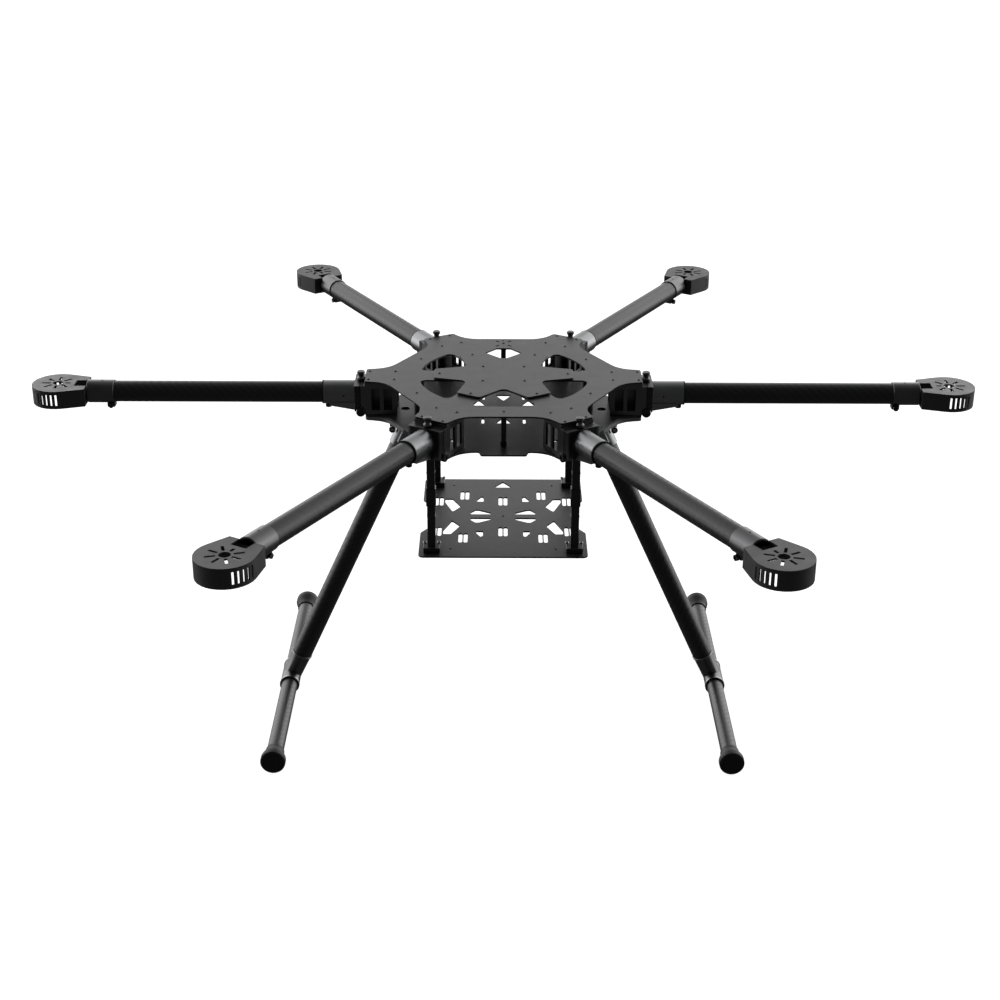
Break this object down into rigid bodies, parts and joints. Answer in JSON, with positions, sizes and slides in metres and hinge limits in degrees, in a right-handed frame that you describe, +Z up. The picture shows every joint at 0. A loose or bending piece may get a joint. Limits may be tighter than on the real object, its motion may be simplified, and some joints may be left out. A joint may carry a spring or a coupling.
{
  "type": "hexacopter airframe",
  "caption": "Folding hexacopter airframe: carbon hub plates, fold-down arms with round motor seats, a slotted payload plate and tubular skid landing gear.",
  "frame": {"origin": "on the ground under the frame's centre, midway between the skids", "axes": "+X along one arm that lies over a landing leg, -Y towards the front, +Z up"},
  "size_m": [0.899, 0.7848, 0.3453],
  "materials": {
    "carbon_plate": "satin woven carbon laminate",
    "carbon_tube": "clear-coated woven carbon tube",
    "satin_aluminium": "satin anodised",
    "black_aluminium": "black anodised",
    "steel": "plain",
    "black_plastic": "moulded matte",
    "rubber": "matte"
  },
  "bodies": {
    "frame": {"top_plate": "carbon_plate", "upper_plate": "carbon_plate", "bottom_plate": "carbon_plate", "standoff_front": "black_aluminium", "standoff_back": "black_aluminium", "payload_plate": "carbon_plate", "payload_post_left_front": "black_aluminium", "payload_post_left_back": "black_aluminium", "payload_post_right_front": "black_aluminium", "payload_post_right_back": "black_aluminium", "leg_socket_left": "satin_aluminium", "leg_tube_left": "carbon_tube", "skid_tee_left": "satin_aluminium", "skid_tube_left": "carbon_tube", "skid_cap_left_front": "rubber", "skid_cap_left_back": "rubber", "leg_socket_right": "satin_aluminium", "leg_tube_right": "carbon_tube", "skid_tee_right": "satin_aluminium", "skid_tube_right": "carbon_tube", "skid_cap_right_front": "rubber", "skid_cap_right_back": "rubber", "arm_bracket_1": "satin_aluminium", "arm_bracket_2": "satin_aluminium", "arm_bracket_3": "satin_aluminium", "arm_bracket_4": "satin_aluminium", "arm_bracket_5": "satin_aluminium", "arm_bracket_6": "satin_aluminium", "hinge_pin_1": "steel", "hinge_pin_2": "steel", "hinge_pin_3": "steel", "hinge_pin_4": "steel", "hinge_pin_5": "steel", "hinge_pin_6": "steel"},
    "arm_1": {"arm_adapter_1": "satin_aluminium", "arm_tube_1": "carbon_tube", "motor_mount_1": "black_plastic"},
    "arm_2": {"arm_adapter_2": "satin_aluminium", "arm_tube_2": "carbon_tube", "motor_mount_2": "black_plastic"},
    "arm_3": {"arm_adapter_3": "satin_aluminium", "arm_tube_3": "carbon_tube", "motor_mount_3": "black_plastic"},
    "arm_4": {"arm_adapter_4": "satin_aluminium", "arm_tube_4": "carbon_tube", "motor_mount_4": "black_plastic"},
    "arm_5": {"arm_adapter_5": "satin_aluminium", "arm_tube_5": "carbon_tube", "motor_mount_5": "black_plastic"},
    "arm_6": {"arm_adapter_6": "satin_aluminium", "arm_tube_6": "carbon_tube", "motor_mount_6": "black_plastic"},
    "screw_1": {"thumb_screw_1": "steel"},
    "screw_2": {"thumb_screw_2": "steel"},
    "screw_3": {"thumb_screw_3": "steel"},
    "screw_4": {"thumb_screw_4": "steel"},
    "screw_5": {"thumb_screw_5": "steel"},
    "screw_6": {"thumb_screw_6": "steel"}
  },
  "joints": [
    {"name": "arm_fold_1", "type": "hinge", "parent": "frame", "child": "arm_1", "pos_m": [0.1357, 0, 0.31], "axis": [0, 1, 0], "range_deg": [0, 70]},
    {"name": "arm_fold_2", "type": "hinge", "parent": "frame", "child": "arm_2", "pos_m": [0.06785, 0.11752, 0.31], "axis": [-0.866, 0.5, 0], "range_deg": [0, 80]},
    {"name": "arm_fold_3", "type": "hinge", "parent": "frame", "child": "arm_3", "pos_m": [-0.06785, 0.11752, 0.31], "axis": [-0.866, -0.5, 0], "range_deg": [0, 80]},
    {"name": "arm_fold_4", "type": "hinge", "parent": "frame", "child": "arm_4", "pos_m": [-0.1357, 0, 0.31], "axis": [0, -1, 0], "range_deg": [0, 70]},
    {"name": "arm_fold_5", "type": "hinge", "parent": "frame", "child": "arm_5", "pos_m": [-0.06785, -0.11752, 0.31], "axis": [0.866, -0.5, 0], "range_deg": [0, 80]},
    {"name": "arm_fold_6", "type": "hinge", "parent": "frame", "child": "arm_6", "pos_m": [0.06785, -0.11752, 0.31], "axis": [0.866, 0.5, 0], "range_deg": [0, 80]},
    {"name": "thumb_screw_1_travel", "type": "slide", "parent": "frame", "child": "screw_1", "axis": [0, 0, 1], "range_m": [0, 0.005]},
    {"name": "thumb_screw_2_travel", "type": "slide", "parent": "frame", "child": "screw_2", "axis": [0, 0, 1], "range_m": [0, 0.005]},
    {"name": "thumb_screw_3_travel", "type": "slide", "parent": "frame", "child": "screw_3", "axis": [0, 0, 1], "range_m": [0, 0.005]},
    {"name": "thumb_screw_4_travel", "type": "slide", "parent": "frame", "child": "screw_4", "axis": [0, 0, 1], "range_m": [0, 0.005]},
    {"name": "thumb_screw_5_travel", "type": "slide", "parent": "frame", "child": "screw_5", "axis": [0, 0, 1], "range_m": [0, 0.005]},
    {"name": "thumb_screw_6_travel", "type": "slide", "parent": "frame", "child": "screw_6", "axis": [0, 0, 1], "range_m": [0, 0.005]}
  ]
}
